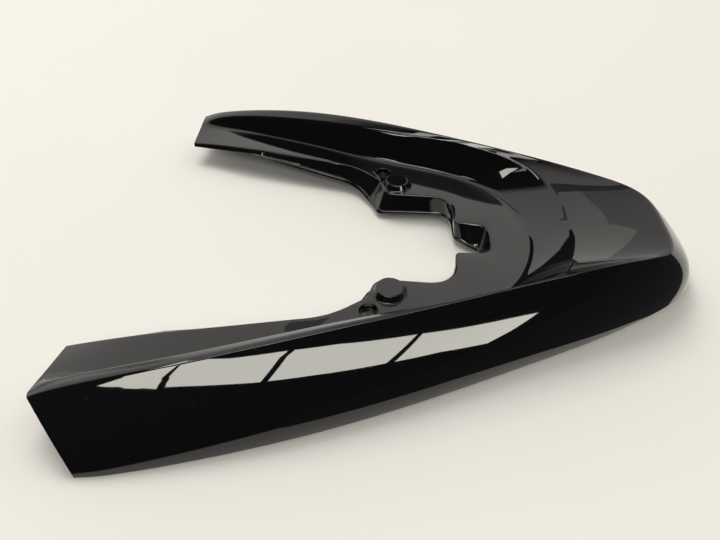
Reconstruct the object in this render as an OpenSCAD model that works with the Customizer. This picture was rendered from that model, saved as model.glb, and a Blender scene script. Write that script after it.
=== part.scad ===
// Tail cover of a motor scooter: one glossy moulding that wraps the rear of the seat.
// Frame: +X to the tail, +Y to the far side, +Z up, the hem stands on z = 0.
// The cover is mirror-symmetric about the plane y = 0.
// The shell is a loft: every station joins one point of each guide line, and the
// guide lines run from an arm tip round the tail to the other arm tip.

/* [Overall size] */
// Length from the arm tips to the hem of the tail
body_length = 412; // [380:2:440]
// Width over the hems of the two arms
body_width = 392; // [360:2:420]
// Height of the flange on which the seat rests
flange_height = 22.4; // [20:0.2:26]
// Height of the side ridge at its highest point
ridge_height = 51.6; // [46:0.2:58]
// Height of the tail rim above the hem, at the rear
tail_height = 44; // [40:0.5:48]
// Wall thickness of the moulding
wall = 2.4; // [1.8:0.1:3]
// Thickness of the inner wall as a share of the wall thickness
side_wall_share = 0.8; // [0.7:0.05:0.9]

/* [Inner wall and notch] */
// Height of the lower edge of the inner wall above the hem
wall_foot_height = 4; // [2:0.5:6]
// Width of the centre notch in the flange
notch_width = 35; // [28:1:40]
// Distance of the notch end from the arc centre
notch_reach = 59.5; // [54:0.5:64]
// Radius of the arc at which the flange meets the tail
arc_radius = 86.5; // [80:0.5:92]
// Height of the lip along the lower edge of the inner wall
lip_height = 2.6; // [2:0.1:3.4]
// Amount by which the lip stands out of the inner wall
lip_depth = 1; // [0.6:0.1:1.6]

/* [Bosses] */
// Distance between the axes of the two bosses
boss_span = 128; // [124:1:132]
// Distance of the bosses ahead of the arc centre
boss_set = 12; // [10:0.5:14]
// Diameter of the flat top of a boss
boss_top_d = 19; // [17:0.5:20]
// Diameter of a boss where its foot fillet meets the flange
boss_base_d = 25; // [23.5:0.5:26]
// Height of a boss above the flange
boss_rise = 5; // [4:0.5:7]

/* [Screw wells] */
// Distance between the axes of the two screw wells
screw_span = 164; // [160:1:168]
// Distance of the screw wells ahead of the arc centre
screw_set = 24.6; // [22:0.2:27]
// Diameter of the recess for the screw head
head_d = 12.4; // [10:0.2:14]
// Depth of the recess for the screw head
head_depth = 4.5; // [3.5:0.5:6]
// Diameter of the screw hole
screw_d = 6.2; // [5:0.2:7]

/* [Edges] */
// Setback of the rounding along the inner edge of the flange
flange_edge = 1.4; // [1:0.1:2]
// Setback of the hollow fillet at the foot of the outer wall
foot_fillet = 4.5; // [3:0.5:6]
// Setback of the rounding along the crest of the outer wall
crest_round = 3; // [2:0.5:4]
// Setback of the rounding along the side ridge
ridge_round = 3; // [2:0.5:4]

/* [Facets] */
// Facets in each rounded edge of the section
round_steps = 3; // [2:1:4]
// Facets down the outer skirt
skirt_steps = 5; // [4:1:7]
// Facets round a boss or a screw well
circle_facets = 40; // [32:8:48]

/* [Hidden] */
cover_black = [0.03, 0.03, 0.035];
arm_reach = body_length / 2;
half_width = body_width / 2;
rise = ridge_height - flange_height;
tail_rise = (tail_height - flange_height) / rise;
notch_half = notch_width / 2;
overlap = 1;
side_wall = wall * side_wall_share;

// Places on the flange edge, tied to the bosses and to the arc.
boss_margin = 0.5;
boss_foot_r = boss_base_d / 2;
boss_half = boss_span / 2;
edge_ahead = -boss_set - boss_foot_r;
edge_inside = boss_half - boss_foot_r - boss_margin;
shoulder_y = boss_half + 4;
shoulder_x = arc_radius - 55;
arm_bend_x = edge_ahead - 25;
arm_bend_y = boss_half + 25;
wall_draft = 2;
tip_start = -0.63 * arm_reach;
drop_start = -0.73 * arm_reach;
notch_foot = notch_reach - 5.5;

// Guide lines in plan and height. Each row is one control point of the line:
// x as a share of arm_reach, y as a share of half_width, and the height.
// The last row lies on the plane of symmetry.
hem_guide = [
    [-0.835, 1.002, 0], [-0.77, 0.994, 0], [-0.60, 0.946, 0], [-0.385, 0.872, 0],
    [-0.165, 0.784, 0], [0.10, 0.657, 0], [0.365, 0.515, 0], [0.61, 0.385, 0],
    [0.82, 0.25, 0], [0.99, 0.118, 0], [1.005, 0, 0]
];
// Heights of the ridge and the crest are shares of the rise above the flange.
ridge_guide = [
    [-1, 0.842, 0.09], [-0.945, 0.836, 0.27], [-0.80, 0.806, 0.50], [-0.59, 0.760, 0.73],
    [-0.35, 0.702, 0.91], [-0.07, 0.621, 1.0], [0.22, 0.497, 1.01], [0.465, 0.372, 0.99],
    [0.685, 0.255, 0.93], [0.85, 0.19, tail_rise + 0.06], [0.852, 0, tail_rise]
];
crest_guide = [
    [-1, 0.80, 0.05], [-0.945, 0.795, 0.24], [-0.80, 0.764, 0.43], [-0.605, 0.715, 0.57],
    [-0.38, 0.649, 0.70], [-0.105, 0.557, 0.80], [0.145, 0.497, 0.87], [0.36, 0.398, 0.86],
    [0.475, 0.306, 0.70], [0.55, 0.19, 0.48], [0.57, 0, 0.32]
];
// Foot of the outer wall: the arm part in shares, the rear part on the arc.
foot_arm = [
    [-1, 0.765], [-0.945, 0.763], [-0.80, 0.740], [-0.62, 0.686], [-0.41, 0.619], [-0.145, 0.507]
];
foot_arc_angles = [84, 59, 39.5, 22, 0];
// The control points lie outside the arc that the line follows.
foot_control_r = arc_radius * 1.04;
foot_guide = concat(
    [for (p = foot_arm) [p[0] * arm_reach, p[1] * half_width, flange_height]],
    [for (a = foot_arc_angles) [foot_control_r * cos(a), foot_control_r * sin(a), flange_height]]
);

// Inner edge of the flange: corners [x, y, setback of the rounding].
edge_corners = [
    [-arm_reach, 0.63 * half_width, 0], [tip_start, 0.549 * half_width, 35],
    [arm_bend_x, arm_bend_y, 16], [edge_ahead, shoulder_y, 3],
    [edge_ahead, edge_inside, 13], [shoulder_x, edge_inside, 19],
    [shoulder_x + wall_draft, notch_half, 4], [notch_reach, notch_half, 12],
    [notch_reach, 0, 0]
];
// Lower edge of the inner wall: the same corners, moved in by the draft of the wall.
lower_corners = [
    [-arm_reach, 0.627 * half_width, 0], [tip_start, 0.523 * half_width, 35],
    [arm_bend_x, arm_bend_y - 3 * wall_draft, 14],
    [edge_ahead - 4 * wall_draft, shoulder_y - 4 * wall_draft, 6],
    [edge_ahead - wall_draft, edge_inside - 2 * wall_draft, 3.8],
    [shoulder_x + wall_draft, edge_inside - wall_draft, 17],
    [shoulder_x + 2 * wall_draft, notch_half, 4], [notch_foot, 2 * wall_draft, 3.4],
    [notch_foot, 0, 0]
];
// Facets on the straight runs and on the roundings between them.
run_steps = [6, 5, 3, 1, 3, 2, 2, 1];
turn_steps = [2, 3, 3, 5, 6, 4, 4];
// Place on the outer guide lines reached at each corner of the inner edge.
corner_share = [0, 0.25, 0.42, 0.47, 0.51, 0.66, 0.81, 0.92, 1];

function unit(v) = v / norm(v);

// Uniform cubic spline through the first control point, with its last row on
// the plane of symmetry, so that both halves join smoothly.
function mirrored(p) = [p[0], -p[1], p[2]];
function padded(guide) = let (n = len(guide))
    concat([2 * guide[0] - guide[1]], guide, [mirrored(guide[n - 2])]);
function spline(rows, i, f) = (
    pow(1 - f, 3) * rows[i]
    + (3 * pow(f, 3) - 6 * pow(f, 2) + 4) * rows[i + 1]
    + (-3 * pow(f, 3) + 3 * pow(f, 2) + 3 * f + 1) * rows[i + 2]
    + pow(f, 3) * rows[i + 3]) / 6;
function on_guide(guide, share) = let (
    spans = len(guide) - 1,
    at = share * spans,
    i = min(floor(at), spans - 1)
) spline(padded(guide), i, at - i);

function scaled(guide, base, height) =
    [for (p = guide) [p[0] * arm_reach, p[1] * half_width, base + p[2] * height]];
hem_line = scaled(hem_guide, 0, 1);
ridge_line = scaled(ridge_guide, flange_height, rise);
crest_line = scaled(crest_guide, flange_height, rise);

// Path through corners, each rounded by its setback.
function spot(c) = [c[0], c[1]];
function leave(corners, i) = spot(corners[i])
    + unit(spot(corners[i + 1]) - spot(corners[i])) * corners[i][2];
function reach(corners, i) = spot(corners[i])
    - unit(spot(corners[i]) - spot(corners[i - 1])) * corners[i][2];
function bend(a, b, c, t) = pow(1 - t, 2) * a + 2 * t * (1 - t) * b + pow(t, 2) * c;
function rounded_path(corners) = [
    for (i = [0 : len(corners) - 2])
        let (from = leave(corners, i), to = reach(corners, i + 1))
            for (point = concat(
                [for (s = [0 : run_steps[i]])
                    if (s > 0 || i == 0) from + (to - from) * s / run_steps[i]],
                i < len(corners) - 2
                    ? [for (s = [1 : turn_steps[i]])
                        bend(to, spot(corners[i + 1]), leave(corners, i + 1), s / turn_steps[i])]
                    : []
            )) point
];
edge_path = rounded_path(edge_corners);
lower_path = rounded_path(lower_corners);
half_count = len(edge_path) - 1;

// Station number at the middle of each corner, then the share for each station.
function total(list, n) = n <= 0 ? 0 : list[n - 1] + total(list, n - 1);
corner_station = [
    for (i = [0 : len(run_steps)])
        i == 0 ? 0
        : i == len(run_steps) ? half_count
        : total(run_steps, i) + total(turn_steps, i - 1) + turn_steps[i - 1] / 2
];
share_table = [for (i = [0 : len(run_steps)]) [corner_station[i], corner_share[i]]];
function share_at(j) = lookup(j, share_table);

// Height of the flange edge: it falls towards the arm tip and a little at the notch.
tip_fall = 4.6;
notch_fall = 1.6;
function edge_height(x) = flange_height
    - tip_fall * pow(max(0, tip_start - x) / (arm_reach + tip_start), 2)
    - notch_fall * lookup(x, [[arm_bend_x - 20, 0], [edge_ahead, 0.6], [shoulder_x, 1]]);
// Height of the lower edge: along the arms the inner wall is only a narrow rim.
rim_depth = wall + 0.6;
function lower_height(x) = lookup(x, [
    [-arm_reach, edge_height(-arm_reach) - rim_depth],
    [drop_start, edge_height(drop_start) - rim_depth],
    [edge_ahead, wall_foot_height]
]);

// Corner points of the outer skin at one station, from the lower edge to the hem.
function edge_point(j) = [edge_path[j][0], edge_path[j][1], edge_height(edge_path[j][0])];
function lower_point(j) = [
    lower_path[j][0], lower_path[j][1], lower_height(edge_path[j][0])
];
function outer_point(k, j) =
    k == 0 ? lower_point(j)
    : k == 1 ? edge_point(j)
    : k == 2 ? on_guide(foot_guide, share_at(j))
    : k == 3 ? on_guide(crest_line, share_at(j))
    : k == 4 ? on_guide(ridge_line, share_at(j))
    : on_guide(hem_line, share_at(j));
corner_grid = [
    for (j = [0 : half_count]) [for (k = [0 : 5]) outer_point(k, j)]
];
// Neighbouring stations; past the last one the next is the mirror of the one before.
function grid_at(j) = j < 0 ? corner_grid[0]
    : j > half_count ? [for (p = corner_grid[2 * half_count - j]) mirrored(p)]
    : corner_grid[j];
function along(j, k) = unit(grid_at(j + 1)[k] - grid_at(j - 1)[k]);

// Skirt: a curve that leaves the ridge outwards and meets the hem almost upright.
function skirt_point(ridge, hem, t) = let (
    out = [hem[0] - ridge[0], hem[1] - ridge[1], 0],
    drop = [0, 0, ridge[2]],
    first = ridge + 0.45 * out - 0.25 * drop,
    second = hem - 0.16 * out + 0.4 * drop
) pow(1 - t, 3) * ridge + 3 * t * pow(1 - t, 2) * first
    + 3 * pow(t, 2) * (1 - t) * second + pow(t, 3) * hem;

// One rounded corner of the section: points on a bend between two setbacks.
function round_corner(before, corner, after, setback, steps) = let (
    a = corner + unit(before - corner) * min(setback, norm(before - corner) * 0.45),
    c = corner + unit(after - corner) * min(setback, norm(after - corner) * 0.45)
) [for (s = [0 : steps]) bend(a, corner, c, s / steps)];

// Lip along the lower edge: it stands out of the wall towards the gap and fades
// where the wall gets low.
least_lip = 0.08;
lip_fade = 6;
lip_taper = 1.35;
function lip_points(p, j) = let (
    way = along(j, 0),
    side = unit([way[1], -way[0], 0]),
    spare = p[1][2] - p[0][2] - rim_depth,
    lip_share = min(1, max(least_lip, spare / lip_fade)),
    up = unit(p[1] - p[0]) * lip_height * lip_share,
    out = side * lip_depth * lip_share
) [p[0] + out, p[0] + up + out, p[0] + lip_taper * up];

function outer_section(j) = let (
    p = corner_grid[j],
    first_skirt = skirt_point(p[4], p[5], 1 / skirt_steps)
) concat(
    lip_points(p, j),
    round_corner(p[0], p[1], p[2], flange_edge, round_steps),
    round_corner(p[1], p[2], p[3], foot_fillet, round_steps),
    round_corner(p[2], p[3], p[4], crest_round, round_steps),
    round_corner(p[3], p[4], first_skirt, ridge_round, round_steps),
    [for (s = [1 : skirt_steps]) skirt_point(p[4], p[5], s / skirt_steps)]
);

// Inner skin: the corner points moved in by the wall thickness, square to the skin.
function facing(j, k, a, b) = unit(cross(along(j, k), b - a));
function mitred(p, n1, n2) = p - wall * (n1 + n2) / (1 + n1 * n2);
function side_step(j, k) = let (t = along(j, k)) unit([-t[1], t[0], 0]) * side_wall;
function inner_section(j) = let (
    p = corner_grid[j],
    quarter = skirt_point(p[4], p[5], 0.3),
    half = skirt_point(p[4], p[5], 0.62),
    up = [0, 0, 1],
    n_wall = facing(j, 2, p[2], p[3]),
    n_top = facing(j, 3, p[3], p[4]),
    n_side = facing(j, 4, p[4], quarter),
    n_mid = facing(j, 4, quarter, half),
    n_low = facing(j, 5, half, p[5]),
    flat_low = unit([n_low[0], n_low[1], 0])
) [
    p[5] - wall * flat_low,
    mitred(half, n_mid, n_low),
    mitred(quarter, n_side, n_mid),
    mitred(p[4], n_top, n_side),
    mitred(p[3], n_wall, n_top),
    mitred(p[2], up, n_wall),
    p[1] + side_step(j, 1) - [0, 0, wall],
    p[0] + side_step(j, 0)
];

half_outer = [for (j = [0 : half_count]) outer_section(j)];
half_inner = [for (j = [0 : half_count]) inner_section(j)];
function whole(half) = concat(
    half,
    [for (j = [half_count - 1 : -1 : 0]) [for (p = half[j]) mirrored(p)]]
);
outer_rows = whole(half_outer);
inner_rows = whole(half_inner);
outer_size = len(outer_rows[0]);
loop_size = outer_size + len(inner_rows[0]);
last_row = len(outer_rows) - 1;

// Faces of the loft: two triangles between each pair of neighbouring points.
function skin_faces() = [
    for (j = [0 : last_row - 1])
        for (k = [0 : loop_size - 1])
            let (
                a = j * loop_size + k,
                b = j * loop_size + (k + 1) % loop_size,
                c = a + loop_size,
                d = b + loop_size
            )
                for (face = [[a, b, c], [b, d, c]]) face
];
// Outer points that belong to each inner point, for the faces that close an arm end.
group_ends = [
    3, 3 + (round_steps + 1), 3 + 2 * (round_steps + 1), 3 + 3 * (round_steps + 1),
    3 + 4 * (round_steps + 1)
];
function inner_for(k) =
    k < 3 ? loop_size - 1
    : k < group_ends[1] ? loop_size - 2
    : k < group_ends[2] ? loop_size - 3
    : k < group_ends[3] ? loop_size - 4
    : k < group_ends[4] ? loop_size - 5
    : let (t = (k - group_ends[4] + 1) / skirt_steps)
        t < 0.4 ? loop_size - 6 : t < 0.8 ? loop_size - 7 : loop_size - 8;
function end_faces(base, flip) = [
    for (k = [0 : outer_size - 2])
        let (
            i0 = inner_for(k),
            i1 = inner_for(k + 1),
            tri = [base + k, base + k + 1, base + i0]
        )
            for (face = concat(
                [flip ? [tri[2], tri[1], tri[0]] : tri],
                i1 == i0 ? []
                    : [flip ? [base + i0, base + i1, base + k + 1]
                        : [base + k + 1, base + i1, base + i0]]
            )) face
];

module shell() {
    points = [for (j = [0 : last_row]) for (p = concat(outer_rows[j], inner_rows[j])) p];
    polyhedron(
        points = points,
        faces = concat(
            skin_faces(),
            end_faces(0, true),
            end_faces(last_row * loop_size, false)
        ),
        convexity = 10
    );
}

boss_floor = edge_height(-boss_set);
screw_floor = edge_height(-screw_set);
// The cups stay clear of the inner wall beside them.
cup_wall = 0.65 * wall;

// Boss: a round stud with a hollow fillet at its foot and a softened top edge.
boss_fillet = 1.9;
boss_edge = 1;
module boss() {
    top_r = boss_top_d / 2;
    rotate_extrude($fn = circle_facets)
        polygon(concat(
            [[0, -overlap], [boss_foot_r, -overlap]],
            [for (a = [0 : 30 : 90])
                [boss_foot_r - boss_fillet * sin(a), boss_fillet * (1 - cos(a))]],
            [for (a = [0 : 30 : 90])
                [top_r - boss_edge * (1 - cos(a)), boss_rise - boss_edge * (1 - sin(a))]],
            [[0, boss_rise]]
        ));
}
module boss_hollow() {
    inner_d = boss_top_d - 2 * wall;
    translate([0, 0, -3 * wall])
        cylinder(h = boss_rise + 2 * wall, d = inner_d, $fn = circle_facets);
}
module screw_cup() {
    cup_h = head_depth + wall;
    translate([0, 0, -cup_h])
        cylinder(h = cup_h - wall / 2, d = head_d + 2 * cup_wall, $fn = circle_facets);
}
module screw_cut() {
    translate([0, 0, -head_depth])
        cylinder(h = head_depth + 4, d = head_d, $fn = circle_facets);
    translate([0, 0, -head_depth - wall - overlap])
        cylinder(h = wall + 2 * overlap, d = screw_d, $fn = circle_facets);
}
module on_both_sides(set, span, level) {
    for (side = [-1, 1])
        translate([-set, side * span / 2, level])
            children();
}

module tail_cover() {
    color(cover_black)
        difference() {
            union() {
                shell();
                on_both_sides(boss_set, boss_span, boss_floor) boss();
                on_both_sides(screw_set, screw_span, screw_floor) screw_cup();
            }
            on_both_sides(boss_set, boss_span, boss_floor) boss_hollow();
            on_both_sides(screw_set, screw_span, screw_floor) screw_cut();
        }
}

tail_cover();
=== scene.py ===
import bpy
import bmesh
import numpy as np
from math import cos, sin, pi, radians
from mathutils import Matrix, Vector
from mathutils.bvhtree import BVHTree


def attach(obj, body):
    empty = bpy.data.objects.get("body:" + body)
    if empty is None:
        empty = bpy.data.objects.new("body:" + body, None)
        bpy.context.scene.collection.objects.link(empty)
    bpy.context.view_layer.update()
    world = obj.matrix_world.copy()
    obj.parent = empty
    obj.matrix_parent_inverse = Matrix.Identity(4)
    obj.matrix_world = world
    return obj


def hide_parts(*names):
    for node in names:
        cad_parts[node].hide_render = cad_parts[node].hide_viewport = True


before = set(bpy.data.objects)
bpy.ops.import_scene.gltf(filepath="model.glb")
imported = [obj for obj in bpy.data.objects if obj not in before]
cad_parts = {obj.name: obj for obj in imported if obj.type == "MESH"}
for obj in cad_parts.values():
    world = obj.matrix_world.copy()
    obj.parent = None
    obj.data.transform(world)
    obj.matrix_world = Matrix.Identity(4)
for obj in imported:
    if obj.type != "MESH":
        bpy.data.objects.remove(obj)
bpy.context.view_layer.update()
mm = 0.001
print("tail cover: frame loaded")

scene = bpy.context.scene
scene.view_settings.view_transform = "Standard"

# cover body, mm: guide lines like the CAD part's, drawn much finer, with a fuller skirt
cover = {
    "armReach": 206.0,        # arm tips and tail hem from the middle
    "halfWidth": 196.0,
    "flangeHeight": 22.4,
    "rise": 29.2,             # flange to the highest ridge
    "tailHeight": 44.0,
    "tailLip": 0.06,          # share of the rise that the tail's edge stands over its middle
    "wall": 2.4,
    "sideWall": 1.92,         # inner wall
    "wallFoot": 4.0,          # lower edge of the inner wall
    "notchHalf": 17.5,
    "notchReach": 59.5,
    "notchSlope": 5.5,        # notch wall, top to lower edge
    "arcRadius": 86.5,
    "footArcShare": 1.04,     # foot of the outer wall round the tail, share of arcRadius
    "bossHalf": 64.0,         # studs from the middle, across
    "bossSet": 12.0,          # studs from the middle, along
    "bossFoot": 12.5,
    "bossMargin": 0.5,
    "shoulderIn": 55.0,       # flange edge between stud and notch, in from the arc
    "shoulderOut": 4.0,
    "bendSet": 25.0,          # flange edge turns into the arm this far past the stud
    "draft": 2.0,             # inner wall, top to lower edge
    "tipEdge": 0.63,          # flange edge and lower edge, shares of halfWidth
    "armEdge": 0.549,
    "tipLower": 0.627,
    "armLower": 0.523,
    "tipStart": -129.8,       # flange falls from here to the tips
    "dropStart": -150.4,      # inner wall is a narrow rim from here to the tips
    "tipFall": 4.6,
    "notchFall": 1.6,         # flange falls towards the notch: starts before the bend, ends past it
    "fallSet": 20,
    "fallShares": [0, 0.6, 1],
    "rimMargin": 0.6,         # rim of the tips, below the wall
    "lipHeight": 2.6,
    "lipDepth": 1.0,
    "lipInset": 0.9,
    "lipBend": 0.4,
    "lipRound": 0.5,
    "lipTaper": 1.35,
    "lipFade": 6.0,
    "leastLip": 0.08,
    "flangeEdge": 1.4,        # setbacks of the rounded edges
    "footFillet": 4.5,
    "crestRound": 3.0,
    "ridgeRound": 3.0,
    # control points of the skirt's curve at three stations, shares of its reach and height
    "skirt": {"at": [-0.7, 0.2, 1.0], "topOut": [0.55, 0.50, 0.51], "topDrop": [0.21, 0.265, 0.28],
              "hemRise": [0.43, 0.38, 0.42], "hemOut": [0.05, -0.03, 0.06]},
    "skirtStart": 0.1,        # shares of the way down the skirt
    "ridgeAim": 0.2,
    "innerBends": (0.3, 0.62),
    "innerSplits": (0.35, 0.75),
    "roundSteps": 8,
    "skirtSteps": 28,
    "runSteps": [30, 26, 12, 3, 14, 8, 8, 5],
    "turnSteps": [10, 12, 8, 22, 24, 12, 16],
    "cornerShare": [0, 0.25, 0.42, 0.47, 0.51, 0.66, 0.81, 0.92, 1],
    "evenOver": 9,            # stations over which their spacing is evened out
    "smoothAngle": 32,
}
lipBow, lipSteps = (0, 0.35, 0.7, 1), 3
wallShares, flatShares = (0.25, 0.5, 0.75), (0.2, 0.4, 0.6, 0.8)
mirrored = np.array([1, -1, 1])

# guide rows from arm tip to tail: shares of armReach, of halfWidth and of the rise over the flange
tailRise = (cover["tailHeight"] - cover["flangeHeight"]) / cover["rise"]
hemGuide = [[-0.835, 1.002, 0], [-0.77, 0.994, 0], [-0.60, 0.946, 0], [-0.385, 0.872, 0],
            [-0.165, 0.784, 0], [0.10, 0.657, 0], [0.365, 0.515, 0], [0.61, 0.385, 0],
            [0.82, 0.25, 0], [0.99, 0.118, 0], [1.005, 0, 0]]
ridgeGuide = [[-1, 0.842, 0.09], [-0.945, 0.836, 0.27], [-0.80, 0.806, 0.50],
              [-0.59, 0.760, 0.73], [-0.35, 0.682, 0.92], [-0.07, 0.578, 1.0],
              [0.22, 0.460, 1.0], [0.465, 0.355, 0.99], [0.685, 0.255, 0.93],
              [0.85, 0.19, tailRise + cover["tailLip"]], [0.852, 0, tailRise]]
crestGuide = [[-1, 0.80, 0.05], [-0.945, 0.795, 0.24], [-0.80, 0.764, 0.43],
              [-0.605, 0.715, 0.57], [-0.38, 0.643, 0.70], [-0.105, 0.548, 0.80],
              [0.145, 0.478, 0.87], [0.36, 0.380, 0.86], [0.475, 0.298, 0.70],
              [0.55, 0.19, 0.48], [0.57, 0, 0.32]]
footArm = [[-1, 0.765], [-0.945, 0.763], [-0.80, 0.740], [-0.62, 0.686], [-0.41, 0.619],
           [-0.145, 0.507]]
footArcAngles = [84, 59, 39.5, 22, 0]


def scaledGuide(rows, base, height):
    return np.array([[p[0] * cover["armReach"], p[1] * cover["halfWidth"], base + p[2] * height]
                     for p in rows])


hemLine = scaledGuide(hemGuide, 0, 1)
ridgeLine = scaledGuide(ridgeGuide, cover["flangeHeight"], cover["rise"])
crestLine = scaledGuide(crestGuide, cover["flangeHeight"], cover["rise"])
footArc = cover["arcRadius"] * cover["footArcShare"]
footLine = np.array(
    [[p[0] * cover["armReach"], p[1] * cover["halfWidth"], cover["flangeHeight"]] for p in footArm]
    + [[footArc * cos(radians(a)), footArc * sin(radians(a)), cover["flangeHeight"]]
       for a in footArcAngles])

# corners of the flange edge and of the lower edge: x, y, and how far the rounding starts from each
ahead = -cover["bossSet"] - cover["bossFoot"]
inside = cover["bossHalf"] - cover["bossFoot"] - cover["bossMargin"]
shoulderX = cover["arcRadius"] - cover["shoulderIn"]
shoulderY = cover["bossHalf"] + cover["shoulderOut"]
bendX, bendY = ahead - cover["bendSet"], cover["bossHalf"] + cover["bendSet"]
draft = cover["draft"]
notchFoot = cover["notchReach"] - cover["notchSlope"]
edgeCorners = [[-cover["armReach"], cover["tipEdge"] * cover["halfWidth"], 0],
               [cover["tipStart"], cover["armEdge"] * cover["halfWidth"], 35],
               [bendX, bendY, 16], [ahead, shoulderY, 3], [ahead, inside, 13],
               [shoulderX, inside, 19], [shoulderX + draft, cover["notchHalf"], 4],
               [cover["notchReach"], cover["notchHalf"], 12], [cover["notchReach"], 0, 0]]
lowerCorners = [[-cover["armReach"], cover["tipLower"] * cover["halfWidth"], 0],
                [cover["tipStart"], cover["armLower"] * cover["halfWidth"], 35],
                [bendX, bendY - 3 * draft, 14], [ahead - 4 * draft, shoulderY - 4 * draft, 6],
                [ahead - draft, inside - 2 * draft, 3.8],
                [shoulderX + draft, inside - draft, 17],
                [shoulderX + 2 * draft, cover["notchHalf"], 4], [notchFoot, 2 * draft, 3.4],
                [notchFoot, 0, 0]]


def onGuide(rows, shares):                        # uniform cubic spline, mirrored at its end
    rows = np.vstack([2 * rows[0] - rows[1], rows, rows[-2] * mirrored])
    spans = len(rows) - 3
    at = np.asarray(shares) * spans
    i = np.minimum(np.floor(at).astype(int), spans - 1)
    f = (at - i)[:, None]
    return ((1 - f) ** 3 * rows[i] + (3 * f ** 3 - 6 * f ** 2 + 4) * rows[i + 1]
            + (-3 * f ** 3 + 3 * f ** 2 + 3 * f + 1) * rows[i + 2] + f ** 3 * rows[i + 3]) / 6


def unit(v):
    return v / np.linalg.norm(v, axis=-1, keepdims=True)


def bend(a, m, c, t):
    return (1 - t) ** 2 * a + 2 * t * (1 - t) * m + t ** 2 * c


def between(start, stop, shares):
    return [start + (stop - start) * s for s in shares]


def roundedPath(corners):
    spots = [np.array(c[:2], float) for c in corners]
    path = [spots[0]]
    for i in range(len(corners) - 1):
        way = unit(spots[i + 1] - spots[i])
        start = spots[i] + way * corners[i][2]
        stop = spots[i + 1] - way * corners[i + 1][2]
        for s in range(1, cover["runSteps"][i] + 1):
            path.append(start + (stop - start) * s / cover["runSteps"][i])
        if i < len(corners) - 2:
            after = spots[i + 1] + unit(spots[i + 2] - spots[i + 1]) * corners[i + 1][2]
            for s in range(1, cover["turnSteps"][i] + 1):
                path.append(bend(stop, spots[i + 1], after, s / cover["turnSteps"][i]))
    return np.array(path)


def edgeHeight(x):
    fall = np.maximum(0, cover["tipStart"] - x) / (cover["armReach"] + cover["tipStart"])
    return (cover["flangeHeight"] - cover["tipFall"] * fall ** 2
            - cover["notchFall"] * np.interp(x, [bendX - cover["fallSet"], ahead, shoulderX],
                                             cover["fallShares"]))


def stationShares(count):                         # share of the guide lines at each station
    stations = [0]
    for i in range(1, len(cover["runSteps"]) + 1):
        done = sum(cover["runSteps"][:i]) + sum(cover["turnSteps"][:i - 1])
        half = cover["turnSteps"][i - 1] / 2 if i <= len(cover["turnSteps"]) else 0
        stations.append(done + half)
    stations[-1] = count
    shares = np.interp(np.arange(count + 1), stations, cover["cornerShare"])
    reach = cover["evenOver"] // 2
    padded = np.concatenate([2 * shares[0] - shares[reach:0:-1], shares,
                             2 * shares[-1] - shares[-2:-2 - reach:-1]])
    smooth = np.ones(cover["evenOver"]) / cover["evenOver"]
    return np.clip(np.convolve(padded, smooth, "valid"), 0, 1)


def sectionLines():                               # lower edge, flange edge, foot, crest, ridge, hem
    edge = roundedPath(edgeCorners)
    lower = roundedPath(lowerCorners)
    shares = stationShares(len(edge) - 1)
    stops = np.array([-cover["armReach"], cover["dropStart"]])
    rim = edgeHeight(stops) - cover["wall"] - cover["rimMargin"]
    lowZ = np.interp(edge[:, 0], [*stops, ahead], [*rim, cover["wallFoot"]])
    return [np.column_stack([lower, lowZ]), np.column_stack([edge, edgeHeight(edge[:, 0])]),
            onGuide(footLine, shares), onGuide(crestLine, shares),
            onGuide(ridgeLine, shares), onGuide(hemLine, shares)]


def along(line):                                  # direction of a guide line at each station
    full = np.vstack([line[:1], line, line[-2] * mirrored])
    return unit(full[2:] - full[:-2])


def inward(line):
    way = along(line)
    return unit(np.column_stack([-way[:, 1], way[:, 0]]))


def skirtPoint(ridge, hem, t):                    # fuller and rounder towards the arm tips
    out = (hem - ridge) * np.array([1, 1, 0])
    drop = ridge[:, 2:3] * np.array([0, 0, 1])
    s = cover["skirt"]
    topOut, topDrop, hemRise, hemOut = [
        np.polyval(np.polyfit(s["at"], s[k], 2), hem[:, :1] / cover["armReach"])
        for k in ("topOut", "topDrop", "hemRise", "hemOut")]
    first = ridge + topOut * out - topDrop * drop
    second = hem + hemRise * drop - hemOut * out
    return ((1 - t) ** 3 * ridge + 3 * t * (1 - t) ** 2 * first
            + 3 * t ** 2 * (1 - t) * second + t ** 3 * hem)


def roundCorner(before, corner, after, setback, steps, most=0.45):    # most: share of a short side
    lo = np.minimum(setback, most * np.linalg.norm(before - corner, axis=1, keepdims=True))
    hi = np.minimum(setback, most * np.linalg.norm(after - corner, axis=1, keepdims=True))
    a = corner + unit(before - corner) * lo
    c = corner + unit(after - corner) * hi
    return [bend(a, corner, c, s / steps) for s in range(steps + 1)]


def lipRows(p):                                   # lip along the lower edge, with soft edges
    out = np.column_stack([-inward(p[0]), np.zeros(len(p[0]))])
    depth = (p[1] - p[0])[:, 2:3]
    share = np.clip((depth - cover["wall"] - cover["rimMargin"]) / cover["lipFade"],
                    cover["leastLip"], 1)
    up = unit(p[1] - p[0]) * cover["lipHeight"] * share
    step = out * cover["lipDepth"] * share
    low, high, end = p[0] + step, p[0] + up + step, p[0] + up * cover["lipTaper"]
    rows = [bend(low - step * cover["lipInset"], low, low + up * cover["lipBend"], s) for s in lipBow]
    return rows + roundCorner(low, high, end, cover["lipRound"], lipSteps) + [end]


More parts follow.
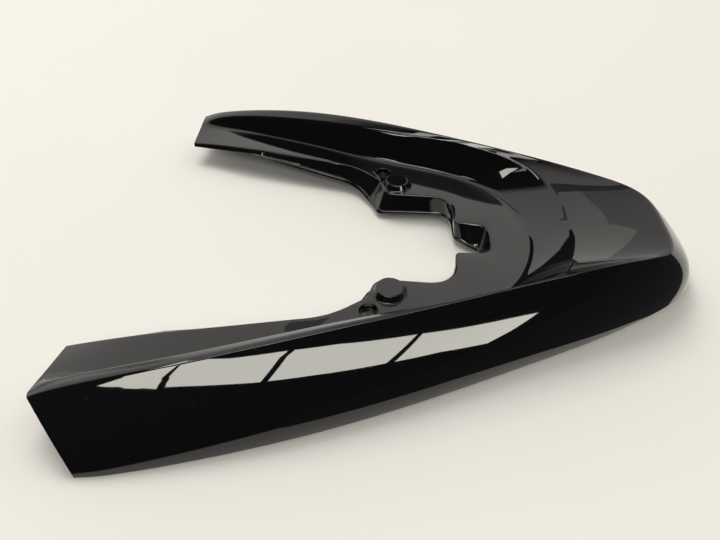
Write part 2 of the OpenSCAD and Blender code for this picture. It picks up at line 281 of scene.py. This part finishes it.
def outerRows(p):
    steps, n, start = cover["roundSteps"], cover["skirtSteps"], cover["skirtStart"]
    lip = lipRows(p)
    wallTop = roundCorner(p[0], p[1], p[2], cover["flangeEdge"], steps)
    foot = roundCorner(p[1], p[2], p[3], cover["footFillet"], steps)
    crest = roundCorner(p[2], p[3], p[4], cover["crestRound"], steps)
    ridge = roundCorner(p[3], p[4], skirtPoint(p[4], p[5], cover["ridgeAim"]),
                        cover["ridgeRound"], steps)
    rows = lip + between(lip[-1], wallTop[0], wallShares) + wallTop
    rows += between(wallTop[-1], foot[0], flatShares) + foot
    rows += between(foot[-1], crest[0], flatShares) + crest
    rows += between(crest[-1], ridge[0], flatShares) + ridge
    rows += [skirtPoint(p[4], p[5], start + (1 - start) * s / n) for s in range(1, n + 1)]
    return np.stack(rows, 1)


def innerRows(p):                                 # the section moved in by the wall
    high, low = [skirtPoint(p[4], p[5], t) for t in cover["innerBends"]]

    def facing(a, c, k):
        return unit(np.cross(along(p[k]), c - a))

    def mitred(q, n1, n2):
        return q - cover["wall"] * (n1 + n2) / (1 + (n1 * n2).sum(1, keepdims=True))

    def thinned(k, drop):
        return np.column_stack([p[k][:, :2] + inward(p[k]) * cover["sideWall"], p[k][:, 2] - drop])
    nWall, nTop = facing(p[2], p[3], 2), facing(p[3], p[4], 3)
    nSide, nMid, nLow = facing(p[4], high, 4), facing(high, low, 4), facing(low, p[5], 5)
    upward = np.tile([0.0, 0, 1], (len(p[0]), 1))
    rows = [p[5] - cover["wall"] * unit(nLow * np.array([1, 1, 0])), mitred(low, nMid, nLow),
            mitred(high, nSide, nMid), mitred(p[4], nTop, nSide), mitred(p[3], nWall, nTop),
            mitred(p[2], upward, nWall), thinned(1, cover["wall"]), thinned(0, 0)]
    return np.stack(rows, 1)


def addObject(name, bm):
    mesh = bpy.data.meshes.new(name)
    bm.to_mesh(mesh)
    bm.free()
    obj = bpy.data.objects.new(name, mesh)
    scene.collection.objects.link(obj)
    return obj


def coverMesh(name):
    lines = sectionLines()
    outer, inner = outerRows(lines), innerRows(lines)
    halfRows = np.concatenate([outer, inner], axis=1)
    rows = np.concatenate([halfRows, (halfRows * mirrored)[-2::-1]])
    count, loop = rows.shape[:2]
    bm = bmesh.new()
    verts = [[bm.verts.new(Vector(p) * mm) for p in row] for row in rows]
    for j in range(count - 1):
        for k in range(loop):
            n = (k + 1) % loop
            bm.faces.new((verts[j][k], verts[j][n], verts[j + 1][n], verts[j + 1][k]))
    stride = cover["roundSteps"] + 1 + len(flatShares)
    firstMark = len(lipBow) + lipSteps + 1 + len(wallShares)
    marks = [firstMark + i * stride for i in range(4)] + [firstMark + 4 * stride - len(flatShares)]

    def innerFor(k):                              # inner point that faces an outer one
        for i, mark in enumerate(marks):
            if k < mark:
                return loop - 1 - i
        t = (k - marks[-1] + 1) / cover["skirtSteps"]
        return loop - 6 - sum(t >= split for split in cover["innerSplits"])
    for row in (verts[0], verts[-1]):             # cut ends of the arms
        for k in range(outer.shape[1] - 1):
            i0, i1 = innerFor(k), innerFor(k + 1)
            bm.faces.new((row[k], row[k + 1], row[i0]))
            if i1 != i0:
                bm.faces.new((row[k + 1], row[i1], row[i0]))
    bmesh.ops.recalc_face_normals(bm, faces=bm.faces)
    return addObject(name, bm)


def topTree(obj):
    bm = bmesh.new()
    bm.from_mesh(obj.data)
    tree = BVHTree.FromBMesh(bm)
    bm.free()
    return tree


def surfaceHeight(tree, x, y, castFrom=0.2):      # metres
    hit = tree.ray_cast(Vector((x, y, castFrom)), Vector((0, 0, -1)))
    return hit[0].z if hit[0] is not None else cover["flangeHeight"] * mm


# studs and screw wells, mm: turned profiles that follow the flange under them
studParts = {
    "topD": 19.0, "baseD": 25.0, "rise": 5.0, "topRound": 1.0, "footRound": 1.9,
    "topRings": (0.4, 0.8),   # shares of the top's radius
    "lapOut": 0.5,            # hidden rim that dips into the flange
    "lapDown": 0.04,
    "followIn": 0.5,          # the foot follows the flange from this far in
    "smoothAngle": 40,
}
wellParts = {
    "set": 24.6,              # wells from the middle, along
    "half": 82.0,
    "headD": 12.4, "headDepth": 4.5, "headTaper": 0.15, "headRound": 0.5,
    "holeD": 6.2, "holeTaper": 0.1, "holeRound": 0.35,
    "rimRound": 0.5,
    "plate": 1.2,             # flat ring that joins the well to the flange
    "plateShare": 0.6,
    "lap": 0.03,
    "cupWall": 2.4,
    "cupTop": 1.3,
    "drillShare": 0.5,        # share of the plate that the drilled opening reaches under
    "followIn": 0.2,          # the rim follows the flange from this far in and down to this depth
    "followDown": 0.6,
    "smoothAngle": 40,
}


def arcPoints(cx, cz, r, start, stop, steps):
    angles = [radians(start + (stop - start) * s / steps) for s in range(steps + 1)]
    return [(cx + r * cos(a), cz + r * sin(a)) for a in angles]


def studProfile(s):
    rTop, rBase, h = s["topD"] / 2, s["baseD"] / 2, s["rise"]
    top, foot = s["topRound"], s["footRound"]
    lean = np.degrees(np.arctan2(rBase - foot - rTop, h - top - foot))
    profile = [(0.0, h)] + [(rTop * f, h) for f in s["topRings"]]
    profile += arcPoints(rTop - top, h - top, top, 90, lean, 8)
    profile += arcPoints(rBase, foot, foot, 180 + lean, 270, 10)
    profile.append((rBase + s["lapOut"], -s["lapDown"]))
    return profile


def wellProfile(s):
    r, hole, deep = s["headD"] / 2, s["holeD"] / 2, s["headDepth"]
    rim, seat, edge, cup = s["rimRound"], s["headRound"], s["holeRound"], s["cupWall"]
    profile = [(r + rim + s["plate"], -s["lap"]), (r + rim + s["plate"] * s["plateShare"], s["lap"])]
    profile += arcPoints(r + rim, s["lap"] - rim, rim, 90, 180, 6)
    profile += arcPoints(r - seat - s["headTaper"], -deep + seat, seat, 0, -90, 5)
    profile += arcPoints(hole + edge, -deep - edge, edge, 90, 180, 5)
    profile += [(hole - s["holeTaper"], -deep - cup), (r + cup, -deep - cup), (r + cup, -s["cupTop"])]
    return profile


def turn(name, profile, centre, tree, follow, around=112):
    bm = bmesh.new()
    rings = []
    base = surfaceHeight(tree, centre[0] * mm, centre[1] * mm)
    for r, z in profile:
        ring = []
        for i in range(around if r > 0 else 1):
            a = 2 * pi * i / around
            x, y = (centre[0] + r * cos(a)) * mm, (centre[1] + r * sin(a)) * mm
            level = surfaceHeight(tree, x, y) if follow(r, z) else base
            ring.append(bm.verts.new((x, y, level + z * mm)))
        rings.append(ring)
    for a, c in zip(rings, rings[1:]):
        for i in range(around):
            n = (i + 1) % around
            if len(a) == 1:
                bm.faces.new((a[0], c[i], c[n]))
            elif len(c) == 1:
                bm.faces.new((a[i], a[n], c[0]))
            else:
                bm.faces.new((a[i], c[i], c[n], a[n]))
    bmesh.ops.recalc_face_normals(bm, faces=bm.faces)
    return addObject(name, bm)


def onStudFoot(r, z):                             # ring points that follow the flange
    return r > studParts["baseD"] / 2 - studParts["followIn"]


def onWellRim(r, z):
    return r > wellParts["headD"] / 2 - wellParts["followIn"] and z > -wellParts["followDown"]


def drill(obj, centre, radius, around=96, depth=30):
    bm = bmesh.new()
    bmesh.ops.create_cone(bm, cap_ends=True, segments=around, radius1=radius * mm,
                          radius2=radius * mm, depth=depth * mm)
    cutter = addObject("drill", bm)
    cutter.location = (centre[0] * mm, centre[1] * mm, cover["flangeHeight"] * mm)
    bpy.context.view_layer.update()
    mod = obj.modifiers.new("drill", "BOOLEAN")
    mod.object, mod.operation, mod.solver = cutter, "DIFFERENCE", "EXACT"
    done = bpy.data.meshes.new_from_object(obj.evaluated_get(bpy.context.evaluated_depsgraph_get()))
    obj.modifiers.clear()
    obj.data = done
    bpy.data.objects.remove(cutter)


def smoothByAngle(obj, angle):
    for poly in obj.data.polygons:
        poly.use_smooth = True
    bm = bmesh.new()
    bm.from_mesh(obj.data)
    for edge in bm.edges:
        edge.smooth = not (len(edge.link_faces) == 2 and edge.calc_face_angle(0) > radians(angle))
    bm.to_mesh(obj.data)
    bm.free()


# gloss black plastic
glossPlastic = {
    "color": (0.0035, 0.0035, 0.0042), "dust": (0.09, 0.088, 0.08), "ior": 1.52,
    "roughness": 0.022, "dustRoughness": 0.30, "smearRoughness": 0.03, "smearRange": (0.45, 0.8),
    "waveHeight": 0.00003,
    "surface": {"Dust Scale": 420, "Dust Share": 0.055, "Smear Scale": 14, "Wave Scale": 22},
}


def newMaterial(name):
    mat = bpy.data.materials.new(name)
    mat.use_nodes = True
    return mat, mat.node_tree.nodes, mat.node_tree.links


def mixColors(nodes, links, factor, first, second):
    mix = nodes.new("ShaderNodeMix")
    mix.data_type = "RGBA"
    mix.inputs["A"].default_value = (*first, 1)
    mix.inputs["B"].default_value = (*second, 1)
    links.new(factor, mix.inputs["Factor"])
    return mix.outputs["Result"]


def handledSurface():                             # dust specks, finger smears, slow mould waviness
    group = bpy.data.node_groups.new("handledSurface", "ShaderNodeTree")
    group.interface.new_socket("Vector", in_out="INPUT", socket_type="NodeSocketVector")
    for label in glossPlastic["surface"]:
        group.interface.new_socket(label, in_out="INPUT", socket_type="NodeSocketFloat")
    for label in ("Dust", "Smear", "Wave"):
        group.interface.new_socket(label, in_out="OUTPUT", socket_type="NodeSocketFloat")
    nodes, links = group.nodes, group.links
    given, result = nodes.new("NodeGroupInput"), nodes.new("NodeGroupOutput")
    specks = nodes.new("ShaderNodeTexVoronoi")
    links.new(given.outputs["Vector"], specks.inputs["Vector"])
    links.new(given.outputs["Dust Scale"], specks.inputs["Scale"])
    grains = nodes.new("ShaderNodeMath")          # one where a speck's middle is near
    grains.operation = "LESS_THAN"
    links.new(specks.outputs["Distance"], grains.inputs[0])
    links.new(given.outputs["Dust Share"], grains.inputs[1])
    links.new(grains.outputs["Value"], result.inputs["Dust"])
    for label, detail in (("Smear", 3), ("Wave", 0)):
        noise = nodes.new("ShaderNodeTexNoise")
        noise.inputs["Detail"].default_value = detail
        links.new(given.outputs["Vector"], noise.inputs["Vector"])
        links.new(given.outputs[label + " Scale"], noise.inputs["Scale"])
        links.new(noise.outputs["Fac"], result.inputs[label])
    return group


def makeGloss(name, s, group):
    mat, nodes, links = newMaterial(name)
    shader = nodes["Principled BSDF"]
    shader.inputs["IOR"].default_value = s["ior"]
    coords = nodes.new("ShaderNodeTexCoord")
    surface = nodes.new("ShaderNodeGroup")
    surface.node_tree = group
    links.new(coords.outputs["Object"], surface.inputs["Vector"])
    for label, value in s["surface"].items():
        surface.inputs[label].default_value = value
    color = mixColors(nodes, links, surface.outputs["Dust"], s["color"], s["dust"])
    links.new(color, shader.inputs["Base Color"])
    smear = nodes.new("ShaderNodeMapRange")
    smear.inputs["From Min"].default_value, smear.inputs["From Max"].default_value = s["smearRange"]
    smear.inputs["To Min"].default_value = s["roughness"]
    smear.inputs["To Max"].default_value = s["smearRoughness"]
    links.new(surface.outputs["Smear"], smear.inputs["Value"])
    rough = nodes.new("ShaderNodeMix")
    rough.inputs["B"].default_value = s["dustRoughness"]
    links.new(surface.outputs["Dust"], rough.inputs["Factor"])
    links.new(smear.outputs["Result"], rough.inputs["A"])
    links.new(rough.outputs["Result"], shader.inputs["Roughness"])
    wave = nodes.new("ShaderNodeBump")
    wave.inputs["Distance"].default_value = s["waveHeight"]
    links.new(surface.outputs["Wave"], wave.inputs["Height"])
    links.new(wave.outputs["Normal"], shader.inputs["Normal"])
    return mat


glossBlack = makeGloss("glossBlackPlastic", glossPlastic, handledSurface())

sides = {"far": 1, "near": -1}
studCentres = {side: (-cover["bossSet"], y * cover["bossHalf"]) for side, y in sides.items()}
wellCentres = {side: (-wellParts["set"], y * wellParts["half"]) for side, y in sides.items()}
body = coverMesh("coverShell")
tree = topTree(body)
opening = (wellParts["headD"] / 2 + wellParts["rimRound"]
           + wellParts["plate"] * wellParts["drillShare"])
for centre in wellCentres.values():
    drill(body, centre, opening)
smoothByAngle(body, cover["smoothAngle"])
print("tail cover: shell", len(body.data.vertices), "points")

pieces = [body]
for side, centre in studCentres.items():
    stud = turn(side + "Stud", studProfile(studParts), centre, tree, onStudFoot)
    smoothByAngle(stud, studParts["smoothAngle"])
    pieces.append(stud)
for side, centre in wellCentres.items():
    well = turn(side + "Well", wellProfile(wellParts), centre, tree, onWellRim)
    smoothByAngle(well, wellParts["smoothAngle"])
    pieces.append(well)
for piece in pieces:
    piece.data.materials.clear()
    piece.data.materials.append(glossBlack)
    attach(piece, "root")
    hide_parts("tail_cover")
print("tail cover: pieces", len(pieces))

# table: seen by the camera and by soft light, while the room paints its reflection
tableTop = {"size": 8.0, "drop": 0.0002, "color": (0.80, 0.785, 0.745), "dust": (0.735, 0.72, 0.675),
            "patchScale": 1.6, "grainScale": 900, "grainHeight": 0.00004, "grainStrength": 0.4,
            "roughness": 0.7, "specular": 0.1}


def makeTable(name, s):
    mat, nodes, links = newMaterial(name)
    shader = nodes["Principled BSDF"]
    shader.inputs["Roughness"].default_value = s["roughness"]
    shader.inputs["Specular IOR Level"].default_value = s["specular"]
    coords = nodes.new("ShaderNodeTexCoord")
    patches = nodes.new("ShaderNodeTexNoise")
    patches.inputs["Scale"].default_value = s["patchScale"]
    grain = nodes.new("ShaderNodeTexNoise")
    grain.inputs["Scale"].default_value = s["grainScale"]
    bump = nodes.new("ShaderNodeBump")
    bump.inputs["Distance"].default_value = s["grainHeight"]
    bump.inputs["Strength"].default_value = s["grainStrength"]
    links.new(coords.outputs["Object"], patches.inputs["Vector"])
    links.new(coords.outputs["Object"], grain.inputs["Vector"])
    color = mixColors(nodes, links, patches.outputs["Fac"], s["dust"], s["color"])
    links.new(color, shader.inputs["Base Color"])
    links.new(grain.outputs["Fac"], bump.inputs["Height"])
    links.new(bump.outputs["Normal"], shader.inputs["Normal"])
    return mat


def sheet(name, corners, mat):
    mesh = bpy.data.meshes.new(name)
    mesh.from_pydata(corners, [], [list(range(len(corners)))])
    obj = bpy.data.objects.new(name, mesh)
    obj.data.materials.append(mat)
    scene.collection.objects.link(obj)
    return obj


half = tableTop["size"] / 2
tableCorners = [(x * half, y * half, -tableTop["drop"]) for x, y in ((-1, -1), (1, -1), (1, 1), (-1, 1))]
table = sheet("tableTop", tableCorners, makeTable("paleTable", tableTop))
table.visible_glossy = False
print("tail cover: table")

# room that the gloss mirrors: stops are heights of the direction, -1 straight down, 1 straight up
room = {
    "colors": {"dark": (0.03, 0.03, 0.032), "pale": (1.0, 0.96, 0.90), "wall": (0.42, 0.40, 0.38),
               "table": (0.70, 0.68, 0.62), "backdrop": (0.66, 0.64, 0.60),
               "black": (0, 0, 0), "white": (1, 1, 1)},
    "ahead": [(-0.10, "table"), (-0.02, "wall"), (0.08, "wall"), (0.20, "pale")],
    "behind": [(-0.36, "table"), (-0.32, "dark"), (0.90, "dark"), (1.0, "pale")],
    "turn": [(-0.05, "black"), (0.12, "white")],  # from behind the camera to ahead of it
    "strength": 1.25,
}


def makeRoom(s):
    world = bpy.data.worlds.new("room")
    scene.world = world
    world.use_nodes = True
    nodes, links = world.node_tree.nodes, world.node_tree.links
    coords = nodes.new("ShaderNodeTexCoord")
    split = nodes.new("ShaderNodeSeparateXYZ")
    links.new(coords.outputs["Generated"], split.inputs[0])

    def ramp(source, stops):
        node = nodes.new("ShaderNodeValToRGB")
        while len(node.color_ramp.elements) < len(stops):
            node.color_ramp.elements.new(0.5)
        for element, (place, color) in zip(node.color_ramp.elements, stops):
            element.position = (place + 1) / 2
            element.color = (*s["colors"][color], 1)
        shift = nodes.new("ShaderNodeMapRange")
        shift.inputs["From Min"].default_value = -1
        shift.inputs["From Max"].default_value = 1
        links.new(split.outputs[source], shift.inputs["Value"])
        links.new(shift.outputs["Result"], node.inputs["Fac"])
        return node.outputs["Color"]
    mix = nodes.new("ShaderNodeMix")
    mix.data_type = "RGBA"
    links.new(ramp("Y", s["turn"]), mix.inputs["Factor"])
    links.new(ramp("Z", s["behind"]), mix.inputs["A"])
    links.new(ramp("Z", s["ahead"]), mix.inputs["B"])
    rays = nodes.new("ShaderNodeLightPath")       # past the table's edge the camera sees a pale wall
    seen = nodes.new("ShaderNodeMix")
    seen.data_type = "RGBA"
    links.new(rays.outputs["Is Camera Ray"], seen.inputs["Factor"])
    links.new(mix.outputs["Result"], seen.inputs["A"])
    seen.inputs["B"].default_value = (*s["colors"]["backdrop"], 1)
    links.new(seen.outputs["Result"], nodes["Background"].inputs["Color"])
    nodes["Background"].inputs["Strength"].default_value = s["strength"]


makeRoom(room)

# row of windows behind the camera: panes on one wall, metres across and up
windowWall = {
    "distance": 2.5, "turn": -0.35, "strength": 11.5, "color": (1.0, 0.98, 0.88),
    "panes": {
        "first": [(-1.5, 2.86), (-1.12, 2.89), (-0.76, 3.3), (-0.32, 3.2), (-0.30, 2.91),
                  (-0.37, 2.65), (-0.20, 2.33), (-0.6, 2.5), (-1.0, 2.71)],
        "second": [(-0.22, 3.15), (0.56, 3.01), (1.54, 3.03), (1.33, 1.90), (1.17, 1.94), (0.5, 2.13),
                   (-0.09, 2.32), (-0.26, 2.65)],
        "third": [(1.67, 3.02), (2.78, 2.76), (4.38, 2.40), (3.58, 1.35), (2.26, 1.71), (1.44, 1.88)],
        "fourth": [(4.54, 2.36), (6.1, 1.87), (8.45, 1.13), (9.84, 0.76), (8.21, 0.19), (7.08, -0.04),
                   (5.08, 0.89), (3.78, 1.28)],
    },
}
# other bright and dark things that the gloss mirrors, corners in metres, and where each shows
mirroredThings = {
    "farPane": {"strength": 10.0, "color": (1.0, 0.97, 0.88), "corners": [  # far side, by the tail
        (-0.237, -0.185, 0.245), (-0.245, -0.108, 0.3), (-0.223, -0.159, 0.285),
        (-0.204, -0.183, 0.288), (-0.221, -0.2, 0.247)]},
    "farGrey": {"strength": 3.0, "color": (0.95, 0.97, 1.0), "corners": [
        (-0.22, -0.157, 0.291), (-0.167, -0.142, 0.35), (-0.003, -0.069, 0.465),
        (-0.033, -0.086, 0.452), (-0.194, -0.174, 0.308)]},
    "skylight": {"strength": 6.0, "color": (1.0, 0.98, 0.94), "corners": [  # thin lights on the edges
        (-3.0, -1.2, 5.0), (-1.4, -1.2, 2.85), (0.0, -1.2, 1.9), (3.0, -1.2, 1.9), (3.0, -1.2, 2.4),
        (0.0, -1.2, 2.4), (-1.4, -1.2, 3.6), (-3.0, -1.2, 6.3)]},
    "doorway": {"strength": 0.02, "color": (1.0, 1.0, 1.0), "corners": [    # front of the tail's dish
        (-0.34, 2.5, 2.1), (-0.1, 2.5, 2.2), (0.1, 2.5, 1.75), (0.0, 2.5, 0.9), (0.0, 2.5, -0.5),
        (-0.45, 2.5, -0.5), (-0.42, 2.5, 0.5), (-0.3, 2.5, 1.2)]},
    "frame": {"strength": 0.5, "color": (1.0, 0.99, 0.98), "corners": [     # near half of the flange
        (-0.8, 2.5, 4.2), (-0.32, 2.5, 4.2), (-0.32, 2.5, 2.8), (-0.8, 2.5, 2.8)]},
    "sideWall": {"strength": 0.76, "color": (1.0, 0.97, 0.92), "corners": [  # rear of the tail
        (0.72, 2.5, -0.2), (6.0, 2.5, -0.2), (6.0, 2.5, 9.0), (0.54, 2.5, 9.0), (0.54, 2.5, 2.3),
        (0.72, 2.5, 2.0)]},
    "beam": {"strength": 0.35, "color": (0.9, 0.95, 1.0), "corners": [      # band across the tail
        (-0.3, 0.5, 2.7), (1.2, 0.5, 2.7), (1.2, 1.05, 2.7), (-0.3, 1.05, 2.7)]},
    "shade": {"strength": 0.06, "color": (1.0, 0.98, 0.95), "corners": [    # skirt round the tail
        (2.0, -6.0, -2.43), (2.0, -1.7, -1.5), (2.0, 0.5, -1.5), (2.0, 0.5, -0.06),
        (2.0, -6.0, -0.06)]},
}


def makeGlow(name, s):
    mat, nodes, links = newMaterial(name)
    nodes.remove(nodes["Principled BSDF"])
    glow = nodes.new("ShaderNodeEmission")
    glow.inputs["Color"].default_value = (*s["color"], 1)
    glow.inputs["Strength"].default_value = s["strength"]
    links.new(glow.outputs["Emission"], nodes["Material Output"].inputs["Surface"])
    return mat


def hangSheet(name, corners, glow):               # only the gloss sees it
    pane = sheet(name, corners, glow)
    pane.visible_diffuse = False
    pane.visible_shadow = False
    pane.visible_camera = False


def hangPanes(s):
    glow = makeGlow("windowGlow", s)
    facing = Vector((sin(s["turn"]), -cos(s["turn"]), 0))
    across = Vector((cos(s["turn"]), sin(s["turn"]), 0))
    for name, corners in s["panes"].items():
        points = [facing * s["distance"] + across * x + Vector((0, 0, z)) for x, z in corners]
        hangSheet(name + "Pane", points, glow)


hangPanes(windowWall)
for name, settings in mirroredThings.items():
    hangSheet(name, settings["corners"], makeGlow(name + "Glow", settings))

# soft light of the windows and the ceiling on the table
lampParts = {
    "windows": {"place": (-0.9, -2.2, 2.2), "size": (3.0, 1.2), "power": 25,
                "color": (1.0, 0.995, 0.98)},
    "ceiling": {"place": (-1.2, 2.2, 3.5), "size": (2.2, 1.6), "power": 81,
                "color": (1.0, 0.985, 0.96)},
}


def hangLamp(name, s):
    data = bpy.data.lights.new(name, "AREA")
    data.shape = "RECTANGLE"
    data.size, data.size_y = s["size"]
    data.energy = s["power"]
    data.color = s["color"]
    lamp = bpy.data.objects.new(name, data)
    lamp.location = s["place"]
    lamp.rotation_euler = (-Vector(s["place"])).to_track_quat("-Z", "Y").to_euler()
    lamp.visible_glossy = False
    scene.collection.objects.link(lamp)


for name, settings in lampParts.items():
    hangLamp(name + "Lamp", settings)
print("tail cover: light")

# camera: photograph's view, its matrix worked out from the part's mirror symmetry
photoView = {"place": (-0.00876, -0.320, 0.27429), "lens": 27.05, "sensor": 36,
             "right": (0.99604, 0.08889, 0.0), "down": (0.05988, -0.67102, -0.73901)}


def placeCamera(s):
    lens = bpy.data.cameras.new("photoCamera")
    lens.lens, lens.sensor_width = s["lens"], s["sensor"]
    camera = bpy.data.objects.new("photoCamera", lens)
    right, down = Vector(s["right"]).normalized(), Vector(s["down"]).normalized()
    matrix = Matrix((right, -down, right.cross(-down))).transposed().to_4x4()
    matrix.translation = Vector(s["place"])
    camera.matrix_world = matrix
    scene.collection.objects.link(camera)
    scene.camera = camera


placeCamera(photoView)
